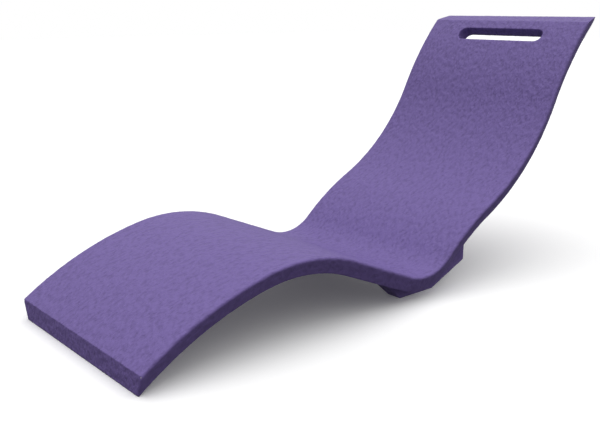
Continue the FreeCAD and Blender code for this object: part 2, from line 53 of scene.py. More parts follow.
rail_low, rail_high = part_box("rail_skin_right")
print("nodes:", sorted(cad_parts))
print("the plank spans", [round(v, 3) for v in board_low], "to", [round(v, 3) for v in board_high])

# %% [markdown]
# ## The side profile
# Seen from the side the lying surface is a chain of arcs and one straight run, each tangent to the
# one before: shins, knees, thighs, seat, waist, back and head. A chain of arcs keeps the long,
# even curves that a bent sheet takes. A hand-drawn spline would wobble between its points. A
# straight lead before the foot and after the head gives the slanted end cuts a line to follow.

# %% The runs of the profile
FOOT_SLOPE = math.radians(35.1)
FOOT_HEIGHT = 0.0583
LEAD = 0.2
# name, radius of an arc or length of a straight, and degrees turned (+ is upwards)
RUNS = (
    ("lead_in", LEAD, 0.0),
    ("shins", 1.015, -23.1),
    ("knees", 0.516, -34.9),
    ("thighs", 0.246, 0.0),
    ("seat", 0.157, 65.4),
    ("waist", 0.857, -15.8),
    ("back", 0.714, 36.4),
    ("head", 0.999, -17.3),
    ("lead_out", LEAD, 0.0),
)

sizes = np.array([run[1] for run in RUNS])
turns = np.radians([run[2] for run in RUNS])
run_lengths = np.where(turns == 0, sizes, sizes * np.abs(turns))
run_bends = turns / run_lengths
run_starts = np.concatenate([[0.0], np.cumsum(run_lengths)[:-1]]) - LEAD
run_slopes = FOOT_SLOPE + np.concatenate([[0.0], np.cumsum(turns)[:-1]])


def chord(length, bend, slope):
    """Where an arc leads: its chord, which is the length times sinc of half the turn, laid along
    the mean of the slopes at its two ends. A straight run is the case of no turn."""
    half_turn = bend * length / 2
    reach = length * np.sinc(half_turn / math.pi)
    return reach * np.cos(slope + half_turn), reach * np.sin(slope + half_turn)


step_x, step_z = chord(run_lengths, run_bends, run_slopes)
run_x = np.concatenate([[0.0], np.cumsum(step_x)[:-1]]) - step_x[0] + board_low.x
run_z = np.concatenate([[0.0], np.cumsum(step_z)[:-1]]) - step_z[0] + FOOT_HEIGHT
TOTAL = run_starts[-1]
HEAD_SLOPE = run_slopes[-1]
print(f"lying surface: {TOTAL:.3f} m from foot to head, leaving at {math.degrees(HEAD_SLOPE):.1f} deg")

# %% [markdown]
# ## A place on the plank
# Every point of the plank is placed by three numbers: the length along the lying surface, the
# distance across it, and the depth straight in. These functions turn them into X, Y and Z. The
# other way round, from an X to a length, has no short formula, so it is read off a fine table.

# %% Points of the lying surface
TABLE_SIZE = 4001

table_lengths = np.linspace(0.0, TOTAL, TABLE_SIZE)


def surface_line(along):
    """X, Z and slope of the lying surface at a length along it: the run that holds the length,
    and the chord of the arc from the run's start."""
    run = np.clip(np.searchsorted(run_starts, along, side="right") - 1, 0, len(RUNS) - 1)
    part = along - run_starts[run]
    dx, dz = chord(part, run_bends[run], run_slopes[run])
    return run_x[run] + dx, run_z[run] + dz, run_slopes[run] + run_bends[run] * part


def board_point(along, across, depth):
    """A point of the plank: out along the lying surface, across it, and straight in by the depth."""
    x, z, slope = surface_line(along)
    return np.stack([x + depth * np.sin(slope), across, z - depth * np.cos(slope)], axis=-1)


def length_at(x):
    """Length along the lying surface at which it reaches an X, read off the table of lengths."""
    return float(np.interp(x, surface_line(table_lengths)[0], table_lengths))


# The place where the middle of the hand slot meets the lying surface
SLOT_PLACE_X = 0.7999
slot_length = length_at(SLOT_PLACE_X)
print(f"the hand slot is {slot_length:.3f} m along, {TOTAL - slot_length:.3f} m short of the head end")

# %% [markdown]
# ## The plank as a block of cells
# The plank is a bent, trimmed box with a slot through it. It could be a box with cuts made by
# booleans, but those leave long thin faces that don't take a relief. Here it starts as a block of
# small cells in plain numbers (length, width, depth). Its grid lines lie close together only next
# to the edges, which are rounded later.

# %% Grid lines
PLANK = 0.050
# Rounding the long edges takes this much off the widest place on each side
ROUNDED_OFF = 0.004
HALF_TOP = board_high.y + ROUNDED_OFF
SIDE_DRAW = 0.0235
HALF_UNDER = HALF_TOP - SIDE_DRAW
SLOT_HALF_WIDTH = 0.0255
SLOT_HALF_LENGTH = 0.182
MESH_STEP = 0.0065
DEPTH_STEP = 0.006

# Distances of the closer lines from an edge, before it (-) and after it
mouth = (-0.004, -0.0026, -0.0012, 0.0)
mouth_back = (0.0, 0.0012, 0.0026, 0.004)
round_start = (0.0, 0.0008, 0.0018, 0.003, 0.005, 0.007)
head_finish = (-0.016, -0.012, -0.008, -0.0045, -0.002, 0.0)
long_edge = (-0.011, -0.0088, -0.0066, -0.0044, -0.0026, -0.0012, 0.0)
# Depths of the closer lines under the lying surface and over the underside
upper_depths = (0.0, 0.001, 0.0023, 0.0039, 0.0058, 0.0079, 0.010)
lower_depths = (0.034, 0.037, 0.040, 0.0425, 0.045, 0.0472, 0.0488, PLANK)


def spread(stops, step=MESH_STEP):
    """The stops, with even steps of about the asked size between them."""
    parts = [np.linspace(a, b, max(1, round((b - a) / step)), endpoint=False)
             for a, b in zip(stops, stops[1:])]
    return np.concatenate(parts + [[stops[-1]]])


def rings(edge, offsets):
    """Grid lines close to an edge, where a rounding needs them."""
    return [edge + offset for offset in offsets]


def both_halves(half):
    """Lines from the middle out, with the same lines mirrored before them."""
    return np.concatenate([-half[:0:-1], half])


lines_along = spread(rings(0.0, round_start)
                     + rings(slot_length - SLOT_HALF_WIDTH, mouth)
                     + rings(slot_length + SLOT_HALF_WIDTH, mouth_back)
                     + rings(TOTAL, head_finish))
lines_across = both_halves(spread([0.0] + rings(SLOT_HALF_LENGTH, mouth + mouth_back[1:])
                                  + rings(HALF_TOP, long_edge)))
lines_deep = spread(upper_depths + lower_depths, DEPTH_STEP)
print("grid lines:", len(lines_along), "along,", len(lines_across), "across,", len(lines_deep), "deep")

# %% [markdown]
# ## The skin of the cells
# Cells inside the slot are left out. The faces between a filled and an empty cell are the skin,
# and it is closed everywhere, slot walls included, because every cell has a whole set of faces.

# %% Filled cells and their skin


def middles(lines):
    """The middle between each line and the next."""
    return (lines[1:] + lines[:-1]) / 2


def block_skin(solid):
    """Every face with material on one side only, its corners in turn about the open side.

    Along each axis the difference between neighbouring cells is 1 where material starts and -1
    where it ends. Returns the corners in use, as indices along the three axes, and the faces."""
    shape = tuple(np.array(solid.shape) + 1)
    axes = np.eye(3, dtype=int)
    faces = []
    for axis in range(3):
        padding = [(1, 1) if a == axis else (0, 0) for a in range(3)]
        change = np.diff(np.pad(solid.astype(np.int8), padding), axis=axis)
        one, two = axes[(axis + 1) % 3], axes[(axis + 2) % 3]
        for sense in (1, -1):
            at = np.argwhere(change == sense)
            loop = [at, at + one, at + one + two, at + two]
            corners = [np.ravel_multi_index(tuple(corner.T), shape) for corner in loop]
            faces.append(np.stack(corners[::-sense], axis=1))
    used, index = np.unique(np.concatenate(faces), return_inverse=True)
    return np.stack(np.unravel_index(used, shape), axis=1), index.reshape(-1, 4)


in_slot_along = np.abs(middles(lines_along) - slot_length) < SLOT_HALF_WIDTH
in_slot_across = np.abs(middles(lines_across)) < SLOT_HALF_LENGTH
filled = np.ones((len(lines_along) - 1, len(lines_across) - 1, len(lines_deep) - 1), bool)
filled[np.ix_(in_slot_along, in_slot_across)] = False
print("cells:", filled.shape, "of which open:", int((~filled).sum()))

corners, plank_faces = block_skin(filled)
along = lines_along[corners[:, 0]]
across = lines_across[corners[:, 1]]
depth = lines_deep[corners[:, 2]]
print("skin:", len(along), "points,", len(plank_faces), "faces")

# %% [markdown]
# ## Trim the plank
# The foot end is cut upright and the head end on a shallow rise to the rear, so both cuts run on a
# slant through the depth. The sides draw in towards the underside, and the slot falls to the rear.
# Each is a shift that grows with the depth and fades out along or across the plank.

# %% Slanted ends, drawn-in sides and slanted slot
HEAD_CUT = math.radians(14)
SLOT_FALL = math.radians(34)
# The foot's slant is gone this far along, and the head's starts this far past the slot
FOOT_SLANT_END = 0.15
HEAD_SLANT_GAP = 0.02
# The slot's slant is whole up to the first distance from its middle, and gone at the second
SLOT_SLANT_NEAR, SLOT_SLANT_FAR = 0.035, 0.07
# The sides draw in only outside this distance from the middle
STILL = 0.2

foot_lean = math.tan(FOOT_SLOPE)
head_lean = 1 / math.tan(HEAD_SLOPE - HEAD_CUT)
slot_slope = float(surface_line(slot_length)[2])
slot_lean = 1 / math.tan(SLOT_FALL + slot_slope)


def ramp(value, start, end):
    """0 before start, 1 after end, and a smooth step between them."""
    part = np.clip((value - start) / (end - start), 0, 1)
    return part * part * (3 - 2 * part)


head_from = slot_length + SLOT_HALF_WIDTH + HEAD_SLANT_GAP
foot_share = np.clip(1 - along / FOOT_SLANT_END, 0, 1)
head_share = np.clip((along - head_from) / (TOTAL - head_from), 0, 1)
slot_share = 1 - ramp(np.abs(along - slot_length), SLOT_SLANT_NEAR, SLOT_SLANT_FAR)
along = along + depth * (head_lean * head_share - foot_lean * foot_share + slot_lean * slot_share)
half_width = HALF_TOP - SIDE_DRAW * depth / PLANK
outer = np.abs(across) - STILL
across = np.where(outer > 0, np.sign(across) * (STILL + outer * (half_width - STILL)
                                                / (HALF_TOP - STILL)), across)
print(f"the underside passes the lying surface by {PLANK * head_lean * 1000:.0f} mm at the head")

# %% [markdown]
# ## Round the edges
# Edges are rounded by pulling each point that is near one onto an arc. The arc's centre is one
# radius inside both faces, and a point keeps its direction from that centre. This is a rule on
# places alone, so faces that share an edge stay joined, and it works at any angle between them.

# %% The rounding rule


def round_edge(a, b, corner, normal_1, normal_2, radius):
    """Points (a, b) near a corner where faces with these outward normals meet. From the arc's
    centre a point lies n1 * p + n2 * q; where p and q are both positive its distance is scaled by
    the larger of its two heights over its distance, which turns the corner into the arc."""
    n1, n2 = np.array(normal_1), np.array(normal_2)
    centre = np.array(corner) - (n1 + n2) * radius / (1 + n1 @ n2)
    va, vb = a - centre[0], b - centre[1]
    turn = n1[0] * n2[1] - n1[1] * n2[0]
    p = (va * n2[1] - vb * n2[0]) / turn
    q = (n1[0] * vb - n1[1] * va) / turn
    height = np.maximum(va * n1[0] + vb * n1[1], va * n2[0] + vb * n2[1])
    distance = np.maximum(np.hypot(va, vb), 1e-9)
    scale = np.where((p > 0) & (q > 0), height / distance, 1.0)
    return centre[0] + va * scale, centre[1] + vb * scale


pulled = round_edge(0.0, 0.0, (0, 0), (1, 0), (0, 1), 1.0)
print(f"a rounding takes a square corner in by {math.hypot(*pulled):.3f} of its radius")

# %% [markdown]
# ## The hand slot's round ends
# The slot was left out as a rectangle of cells. A half circle at each end comes from measuring
# each point from the slot's middle line: the larger of its two offsets, which is the same all
# along the rectangle, becomes its true distance, and further out this fades away.

# %% Slot outline and mouth
MOUTH_RADIUS = 0.004
# Out from the slot's edge the half circle is whole over the first distance, and fades over the next
SLOT_CALM = 0.006
SLOT_BLEND = 0.028

slot_middle = slot_length + slot_lean * depth
middle_line = np.clip(across, SLOT_HALF_WIDTH - SLOT_HALF_LENGTH, SLOT_HALF_LENGTH - SLOT_HALF_WIDTH)
off_along, off_across = along - slot_middle, across - middle_line
square = np.maximum(np.abs(off_along), np.abs(off_across))
circle = np.maximum(np.hypot(off_along, off_across), 1e-9)
near = 1 - ramp(square - SLOT_HALF_WIDTH, SLOT_CALM, SLOT_CALM + SLOT_BLEND)
outside = circle + (square - circle) * near - SLOT_HALF_WIDTH
wall, deep = round_edge(outside, depth, (0, 0), (-1, 0), (0, -1), MOUTH_RADIUS)
wall, deep = round_edge(wall, deep, (0, PLANK), (-1, 0), (0, 1), MOUTH_RADIUS)
reach = (SLOT_HALF_WIDTH + wall) / circle
along = slot_middle + off_along * reach
across = middle_line + off_across * reach
depth = deep
print(f"hand slot: {2000 * SLOT_HALF_LENGTH:.0f} by {2000 * SLOT_HALF_WIDTH:.0f} mm")

# %% [markdown]
# ## The ends and the long edges
# The same rule rounds the rest. The four upright corners come first, seen from above, then the
# long edges, seen from the end, and last the rims of the two ends, seen from the side. The upper
# long edges, the foot's corners and the head's lower rim are well rounded, and the rest are tight.

# %% Corners, long edges and rims
FOOT_CORNER_RADIUS = 0.0065
RIM_RADIUS = 0.003
LONG_EDGE_RADIUS = 0.007
LOW_EDGE_RADIUS = 0.0012
TIP_RADIUS = 0.0085

half_width = HALF_TOP - SIDE_DRAW * depth / PLANK
foot_line, head_line = -foot_lean * depth, TOTAL + head_lean * depth
side = np.sign(across)
to_foot, to_side = round_edge(foot_line - along, np.abs(across) - half_width,
                              (0, 0), (1, 0), (0, 1), FOOT_CORNER_RADIUS)
along, across = foot_line - to_foot, side * (half_width + to_side)
to_head, to_side = round_edge(along - head_line, np.abs(across) - half_width,
                              (0, 0), (1, 0), (0, 1), RIM_RADIUS)
along, across = head_line + to_head, side * (half_width + to_side)

lean = math.atan2(SIDE_DRAW, PLANK)
side_normal = (math.cos(lean), math.sin(lean))
up, down = (0, -1), (0, 1)
wide, depth = round_edge(np.abs(across), depth, (HALF_TOP, 0), up, side_normal, LONG_EDGE_RADIUS)
wide, depth = round_edge(wide, depth, (HALF_UNDER, PLANK), down, side_normal, LOW_EDGE_RADIUS)
across = side * wide

foot_normal = (-math.cos(FOOT_SLOPE), -math.sin(FOOT_SLOPE))
head_normal = (math.sin(HEAD_SLOPE - HEAD_CUT), -math.cos(HEAD_SLOPE - HEAD_CUT))
along, depth = round_edge(along, depth, (0, 0), up, foot_normal, RIM_RADIUS)
along, depth = round_edge(along, depth, (-foot_lean * PLANK, PLANK), down, foot_normal, RIM_RADIUS)
along, depth = round_edge(along, depth, (TOTAL, 0), up, head_normal, RIM_RADIUS)
along, depth = round_edge(along, depth, (TOTAL + head_lean * PLANK, PLANK), down, head_normal,
                          TIP_RADIUS)
plank_points = board_point(along, across, depth)
print("plank box:", plank_points.min(0).round(4), plank_points.max(0).round(4))

# %% [markdown]
# ## The base rails
# Under the seat the plank stands on two foam rails, one near each side. Seen from the side a rail
# has a flat sole, a long slope at the front, a shallow rise at the rear and an upright back. That
# outline is a line with rounded corners. It could be a curve with a bevel, but a short function
# gives it an arc of the right radius at each corner, and points as far apart as on the plank.

# %% The outline of a rail
SOLE_FRONT, SOLE_REAR = 0.019, 0.166
FRONT_RISE = math.radians(41)
TAIL_HEIGHT = 0.065
RAIL_RADII = (0.010, 0.008, 0.010)
ARC_STEP = 0.002
ARC_POINTS = 3
# The front slope is followed forwards this far past the rail, in this many tries, to meet the plank
FRONT_REACH = 0.02
FRONT_TRIES = 400


def rounded_line(stops, radii, step):
    """A line through the stops, each inner one replaced by an arc tangent to both its runs: the
    arc starts its radius times the tangent of half the turn before the stop."""
    stops = np.array(stops)
    parts, start = [], stops[0]
    for here, before, after, radius in zip(stops[1:-1], stops[:-2], stops[2:], radii):
        heading_in = (here - before) / np.linalg.norm(here - before)
        heading_out = (after - here) / np.linalg.norm(after - here)
        turn = math.atan2(heading_in[0] * heading_out[1] - heading_in[1] * heading_out[0],
                          heading_in @ heading_out)
        back_off = radius * math.tan(abs(turn) / 2)
        enter = here - heading_in * back_off
        count = max(1, round(np.linalg.norm(enter - start) / step))
        parts.append(start + (enter - start) * np.linspace(0, 1, count, endpoint=False)[:, None])
        swept = np.linspace(0, turn, max(ARC_POINTS, round(radius * abs(turn) / ARC_STEP)))[:-1]
        first = math.atan2(heading_in[1], heading_in[0])
        dx, dz = chord(radius * np.abs(swept), math.copysign(1 / radius, turn), first)
        parts.append(enter + np.stack([dx, dz], axis=1))
        start = here + heading_out * back_off
    count = max(1, round(np.linalg.norm(stops[-1] - start) / step))
    parts.append(start + (stops[-1] - start) * np.linspace(0, 1, count + 1)[:, None])
    return np.concatenate(parts)


def underside(x, depth_in):
    """Height of the line at a depth inside the plank, over an X, read off the table of lengths."""
    points = board_point(table_lengths, 0 * table_lengths, depth_in)
    return np.interp(x, points[:, 0], points[:, 2])


front_try = np.linspace(rail_low.x - FRONT_REACH, SOLE_FRONT, FRONT_TRIES)
slope_height = (SOLE_FRONT - front_try) * math.tan(FRONT_RISE)
front_top = float(front_try[np.nonzero(slope_height > underside(front_try, PLANK))[0].max()])
outline = rounded_line([
    (front_top, (SOLE_FRONT - front_top) * math.tan(FRONT_RISE)),
    (SOLE_FRONT, 0.0),
    (SOLE_REAR, 0.0),
    (rail_high.x, TAIL_HEIGHT),
    (rail_high.x, float(underside(rail_high.x, PLANK))),
], RAIL_RADII, MESH_STEP)
print("rail outline:", len(outline), "points from X", round(front_top, 4), "to", round(rail_high.x, 4))

# %% [markdown]
# ## The surface of a rail
# A rail fills the space from its outline up to the plank, so it is another block of cells: the
# lower face is laid along the outline, and the upper face is buried a little in the plank's coat.
# One function makes both rails. The coat gathers in the corner under the plank, so the sides of a
# rail flare out there.

# %% A rail as a block of cells
RAIL_MIDDLE = (rail_low.y + rail_high.y) / 2
HALF_RAIL = (rail_high.y - rail_low.y) / 2
RAIL_EDGE_RADIUS = 0.003
BURIED = 0.003
GLUE_FILLET = 0.004
# The flare moves only the outer part of a rail's width, this far in from its sides
FLARE_DEPTH = 0.01
rail_edge = (-0.003, -0.002, -0.001, 0.0)
# Shares of the height from the outline to the plank, and about how far apart the rest lie
rail_levels = (0.0, 0.02, 0.05, 0.10, 1.0)
LEVEL_STEP = 0.07


def rail_surface(side):
    """A block of cells between the outline and the line just inside the plank. The lower edges
    are rounded, and near the plank the sides flare out by a quarter circle. Side is -1 for the
    left rail, 1 for the right."""
    lines = both_halves(spread([0.0] + rings(HALF_RAIL, rail_edge)))
    levels = spread(rail_levels, LEVEL_STEP)
    corners, faces = block_skin(np.ones((len(outline) - 1, len(lines) - 1, len(levels) - 1), bool))
    share = np.linspace(0, 1, len(outline))
    top_x = front_top + (rail_high.x - front_top) * share
    top_line = np.stack([top_x, underside(top_x, PLANK - BURIED)], axis=1)
    low, high = outline[corners[:, 0]], top_line[corners[:, 0]]
    rise = np.linalg.norm(high - low, axis=1)
    lift = levels[corners[:, 2]] * rise
    wide = lines[corners[:, 1]]
    to_side, to_sole = round_edge(np.abs(wide) - HALF_RAIL, -lift, (0, 0), (1, 0), (0, 1),
                                  RAIL_EDGE_RADIUS)
    below = np.clip(rise - BURIED - lift, 0, GLUE_FILLET)
    flare = GLUE_FILLET - np.sqrt(GLUE_FILLET ** 2 - (GLUE_FILLET - below) ** 2)
    edge_share = ramp(np.abs(wide), HALF_RAIL - FLARE_DEPTH, HALF_RAIL)
    wide = np.sign(wide) * (HALF_RAIL + to_side + flare * edge_share)
    place = low + (high - low) * (-to_sole / rise)[:, None]
    return np.stack([place[:, 0], side * RAIL_MIDDLE + wide, place[:, 1]], axis=1), faces


rail_surfaces = {"left": rail_surface(-1), "right": rail_surface(1)}
print("a rail:", len(rail_surfaces["left"][1]), "faces,", round(2000 * HALF_RAIL), "mm wide")

# %% [markdown]
# ## The relief of the coat
# The vinyl is sprayed on in passes and dries with a low, crumpled relief, like rough plaster or
# old leather. A material could fake it with a bump alone, but mounds a centimetre or two across
# catch the light and show in the outline, so these are real. They come from noise worked out at
# each point.

# %% Noise
TILE = 48
DRIFT_CELL, DRIFT_REACH, DRIFT_SEEDS = 0.05, 0.02, (11, 12, 13)
LARGE_CELL, LARGE_SEED = 0.018, 21
SMALL_CELL, SMALL_SEED = 0.011, 22
SLOW_CELL, SLOW_SEED = 0.09, 23
# Below 1 draws the mounds out along an axis: they are longer along the lounger than across it
DRAWN_OUT = (0.7, 1.0, 0.7)
# Taken off the size of the noise, so that the relief goes in as well as out
MIDDLE_HEIGHT = 0.22
MOUND_SHARE, SLOW_SHARE = 1.2, 0.2


def hills(points, cell, seed):
    """Smooth random hills about one cell apart. A fixed random arrow sits at each corner of a grid;
    each point takes the dot product of the arrows with its offsets, blended by smooth steps of
    6 t^5 - 15 t^4 + 10 t^3."""
    arrows = np.random.default_rng(seed).normal(size=(TILE, TILE, TILE, 3))
    arrows /= np.linalg.norm(arrows, axis=3, keepdims=True)
    grid = points / cell
    corner = np.floor(grid).astype(int)
    part = grid - corner
    smooth = part ** 3 * (part * (part * 6 - 15) + 10)
    total = np.zeros(len(points))
    for offset in np.ndindex(2, 2, 2):
        i, j, k = ((corner + offset) % TILE).T
        weight = np.prod(np.where(offset, smooth, 1 - smooth), axis=1)
        total += weight * (arrows[i, j, k] * (part - offset)).sum(axis=1)
    return total


def crumple(points):
    """The relief: the size of a noise is zero along crooked lines, which become sharp creases with
    soft mounds between them. Two sizes of mound are added, their places bent by a slow drift, and
    then a little of a noise with wide hills."""
    drift = np.stack([hills(points, DRIFT_CELL, seed) for seed in DRIFT_SEEDS], axis=1) * DRIFT_REACH
    bent = (points + drift) * DRAWN_OUT
    large = np.abs(hills(bent, LARGE_CELL, LARGE_SEED)) - MIDDLE_HEIGHT
    small = np.abs(hills(bent, SMALL_CELL, SMALL_SEED)) - MIDDLE_HEIGHT
    slow = hills(points, SLOW_CELL, SLOW_SEED)
    return MOUND_SHARE * large + MOUND_SHARE * small + SLOW_SHARE * slow


plank_relief = crumple(plank_points)
print(f"relief of the plank: {plank_relief.min():.2f} to {plank_relief.max():.2f}",
      f"about a mean of {plank_relief.mean():.2f}")

# %% [markdown]
# ## Press the relief into a surface
# Each point moves along its own normal, out over a mound and in at a crease. A Displace modifier
# could do this, but its noise can't be read back. Here the heights are kept on the mesh as an
# attribute, for the material, which paints shade into the creases with them. At the foot's rim the
# cells are finer than the creases, and there a relief would fold them over, so it fades out.

# %% Press the relief into a surface
RELIEF = 0.0008
FOOT_CALM = 0.012


def outward(points, faces):
    """Unit normals: each face's normal is the cross product of its diagonals, summed over the
    faces that meet at a point."""
    face_normals = np.cross(points[faces[:, 2]] - points[faces[:, 0]],
                            points[faces[:, 3]] - points[faces[:, 1]])
    corner_list = faces.ravel()
    spread_normals = np.repeat(face_normals, 4, axis=0)
    total = np.stack([np.bincount(corner_list, spread_normals[:, axis], len(points))
                      for axis in range(3)], axis=1)
    return total / np.maximum(np.linalg.norm(total, axis=1, keepdims=True), 1e-12)


def volume(points, faces):
    """Volume inside closed faces: the sum over triangles of a.(b x c) / 6."""
    a, b, c, d = (points[faces[:, n]] for n in range(4))
    return float((np.einsum("ij,ij->i", a, np.cross(b, c) + np.cross(c, d))).sum() / 6)


def coated(points, faces, relief):
    """The points moved out or in by the relief, and the faces outward. The relief grows by a
    smooth step over the first stretch from the foot end. Nothing goes below the floor, or below
    the surface's own lowest point."""
    if volume(points, faces) < 0:
        faces = faces[:, ::-1]
    calm = ramp(points[:, 0] - board_low.x, 0.0, FOOT_CALM)
    moved = points + outward(points, faces) * (relief * RELIEF * calm)[:, None]
    moved[:, 2] = np.maximum(moved[:, 2], max(points[:, 2].min(), 0.0))
    print(f"relief {relief.min() * RELIEF * 1000:.2f} to {relief.max() * RELIEF * 1000:.2f} mm,",
          f"volume {volume(moved, faces) * 1000:.1f} litres")
    return moved, faces, relief


# %% [markdown]
# ## Make the coats
# Each coat is one closed mesh. It rides on the root, the only body, and stands for the frame node
# that it replaces. It wraps firm foam.

# %% The three coats


def make_piece(name, points, faces, relief, *nodes):
    """A mesh object that rides on the root and stands for its frame nodes, which it hides."""
    mesh = bpy.data.meshes.new(name)
    mesh.from_pydata(points, [], faces)
    mesh.polygons.foreach_set("use_smooth", np.ones(len(faces), bool))
    heights = mesh.attributes.new("relief", "FLOAT", "POINT")
    heights.data.foreach_set("value", relief)
    mesh.update()
    piece = bpy.data.objects.new(name, mesh)
    bpy.context.collection.objects.link(piece)
    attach(piece, "root")
    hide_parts(*nodes)
    return piece


board_coat = make_piece("board_coat", *coated(plank_points, plank_faces, plank_relief), "board_skin")
rail_coats = [make_piece(f"rail_coat_{name}", *coated(points, faces, crumple(points)),
                         f"rail_skin_{name}")
              for name, (points, faces) in rail_surfaces.items()]

# %% [markdown]
# ## Material helpers
# Every finish below is a small graph of nodes. These helpers add one node each and link it, so
# that a material reads as a list of steps: where the pattern lies, the noise, its colours and its
# bump. Nothing is an image, so a finish is sharp at any distance and needs no unwrapping.

# %% Nodes by the line


def new_material(name):
    """A material with its node tree and the shader in it."""
    material = bpy.data.materials.new(name)
    material.use_nodes = True
    tree = material.node_tree
    return material, tree, tree.nodes["Principled BSDF"]


def add_node(tree, kind, **settings):
    """A node of a kind, with its own settings."""
    node = tree.nodes.new(kind)
    for key, value in settings.items():
        setattr(node, key, value)
    return node


def stretched(tree, scale, turn=0.0):
    """Object coordinates scaled, so that a pattern is drawn out where the scale is small, and then
    turned about Z, so that the rows of a noise don't line up with the lounger."""
    place = add_node(tree, "ShaderNodeTexCoord").outputs["Object"]
    mapping = add_node(tree, "ShaderNodeMapping")
    mapping.inputs["Rotation"].default_value = (0, 0, turn)
    mapping.inputs["Scale"].default_value = scale
    tree.links.new(place, mapping.inputs["Vector"])
    return mapping.outputs["Vector"]


def noise(tree, scale, detail=2.0, rough=0.5, place=None):
    """A noise from 0 to 1: finer octaves are added to the first, each weaker by rough."""
    node = add_node(tree, "ShaderNodeTexNoise", noise_type="FBM", normalize=True)
    node.inputs["Scale"].default_value = scale
    node.inputs["Detail"].default_value = detail
    node.inputs["Roughness"].default_value = rough
    place = place or add_node(tree, "ShaderNodeTexCoord").outputs["Object"]
    tree.links.new(place, node.inputs["Vector"])
    return node.outputs["Fac"]


def bump(tree, height, strength, distance, under=None, share=None):
    """A normal tilted by the slope of a height, on top of another bump where one is given. A
    share replaces the strength where it varies over the surface."""
    node = add_node(tree, "ShaderNodeBump")
    node.inputs["Strength"].default_value = strength
    node.inputs["Distance"].default_value = distance
    tree.links.new(height, node.inputs["Height"])
    if under:
        tree.links.new(under, node.inputs["Normal"])
    if share:
        tree.links.new(share, node.inputs["Strength"])
    return node.outputs["Normal"]


def colours(tree, value, stops):
    """A value turned into a colour, mixed evenly between the stops on either side of it."""
    node = add_node(tree, "ShaderNodeValToRGB")
    ramp_stops = node.color_ramp.elements
    for element, (position, colour) in zip(ramp_stops, stops):
        element.position = position
        element.color = (*colour, 1)
    tree.links.new(value, node.inputs["Fac"])
    return node.outputs["Color"]


# %% [markdown]
# ## The vinyl
# The coat is one even dusty violet, matte with a faint satin. Over the mounds run folds whose
# edges are a few millimetres wide, finer than the mesh's cells. They could be one more relief in
# the mesh, but that takes millions of faces, so one noise, drawn out along the lounger, makes them
# twice over: as a bump, and as painted shade, a slightly deeper violet in the creases, which also
# follows the relief kept on the mesh. The sides are smoother, so the bump is weaker there. A
# second, finer bump is the grain.

# %% The vinyl coat
VIOLET = (0.165, 0.114, 0.342)
# The deeper violet below is painted shade, laid into the creases of the folds
VIOLET_CREASE_SHADE = (0.138, 0.094, 0.288)
VINYL_ROUGHNESS = 0.62
VINYL_SPECULAR = 0.35

FOLD_SCALE = 84
FOLD_DETAIL = 2.5
FOLD_DRAWN_OUT = (0.6, 1.0, 0.6)
FOLD_TURN = math.radians(20)
FOLD_HEIGHT = 0.008
SIDE_FOLDS = 0.4
RELIEF_IN_CREASE_SHADE = 0.08
# The painted crease shade is whole at the first height of the folds, and gone at the second
CREASE_SHADE_UNTIL, CREASE_SHADE_GONE_FROM = 0.30, 0.52

GRAIN_SCALE = 320
GRAIN_DETAIL = 3
GRAIN_ROUGH = 0.6
GRAIN_STRENGTH = 0.25
GRAIN_HEIGHT = 0.0008


def smoother_sides(tree):
    """1 where the surface faces up, down or along the lounger, falling evenly with the size of the
    normal's Y to SIDE_FOLDS where it faces straight out to a side."""
    split = add_node(tree, "ShaderNodeSeparateXYZ")
    normal = add_node(tree, "ShaderNodeTexCoord").outputs["Normal"]
    tree.links.new(normal, split.inputs["Vector"])
    outwards = add_node(tree, "ShaderNodeMath", operation="ABSOLUTE")
    tree.links.new(split.outputs["Y"], outwards.inputs[0])
    share = add_node(tree, "ShaderNodeMapRange")
    tree.links.new(outwards.outputs["Value"], share.inputs["Value"])
    share.inputs["To Min"].default_value = 1.0
    share.inputs["To Max"].default_value = SIDE_FOLDS
    return share.outputs["Result"]


def vinyl_coat():
    """Folds plus a little of the relief paint shade into the creases; folds and grain tilt the normal.
    """
    material, tree, shader = new_material("violet_vinyl")
    shader.inputs["Roughness"].default_value = VINYL_ROUGHNESS
    shader.inputs["Specular IOR Level"].default_value = VINYL_SPECULAR
    relief = add_node(tree, "ShaderNodeAttribute", attribute_name="relief").outputs["Fac"]
    folds = noise(tree, FOLD_SCALE, FOLD_DETAIL, place=stretched(tree, FOLD_DRAWN_OUT, FOLD_TURN))
    shade = add_node(tree, "ShaderNodeMath", operation="MULTIPLY_ADD")
    tree.links.new(relief, shade.inputs[0])
    shade.inputs[1].default_value = RELIEF_IN_CREASE_SHADE
    tree.links.new(folds, shade.inputs[2])
    # Painted shade: a deeper violet where the folds and the relief are low, in the creases
    tint = colours(tree, shade.outputs["Value"], ((CREASE_SHADE_UNTIL, VIOLET_CREASE_SHADE), (CREASE_SHADE_GONE_FROM, VIOLET)))
    tree.links.new(tint, shader.inputs["Base Color"])
    creased = bump(tree, folds, 1.0, FOLD_HEIGHT, share=smoother_sides(tree))
    fine = noise(tree, GRAIN_SCALE, GRAIN_DETAIL, GRAIN_ROUGH)
    grain = bump(tree, fine, GRAIN_STRENGTH, GRAIN_HEIGHT, under=creased)
    tree.links.new(grain, shader.inputs["Normal"])
    return material


violet = vinyl_coat()
for piece in (board_coat, *rail_coats):
    piece.data.materials.append(violet)
    print(piece.name, "->", violet.name)

# %% [markdown]
# ## The pieces inside
# Foam sheets, glass-fibre bars, aluminium straps and rivets lie inside the coat. Their shapes are
# right as they stand, so they only need a finish each: pores for foam, fibres along the bars,
# rolling lines on the straps.

# %% Finishes of the inner pieces
FOAM_WHITE = (0.80, 0.78, 0.72)
FOAM_GREY = (0.36, 0.36, 0.37)
FOAM_ROUGHNESS = 0.9
PORE_SHADE = 0.82
SOFT_PORES, FIRM_PORES = 700, 500
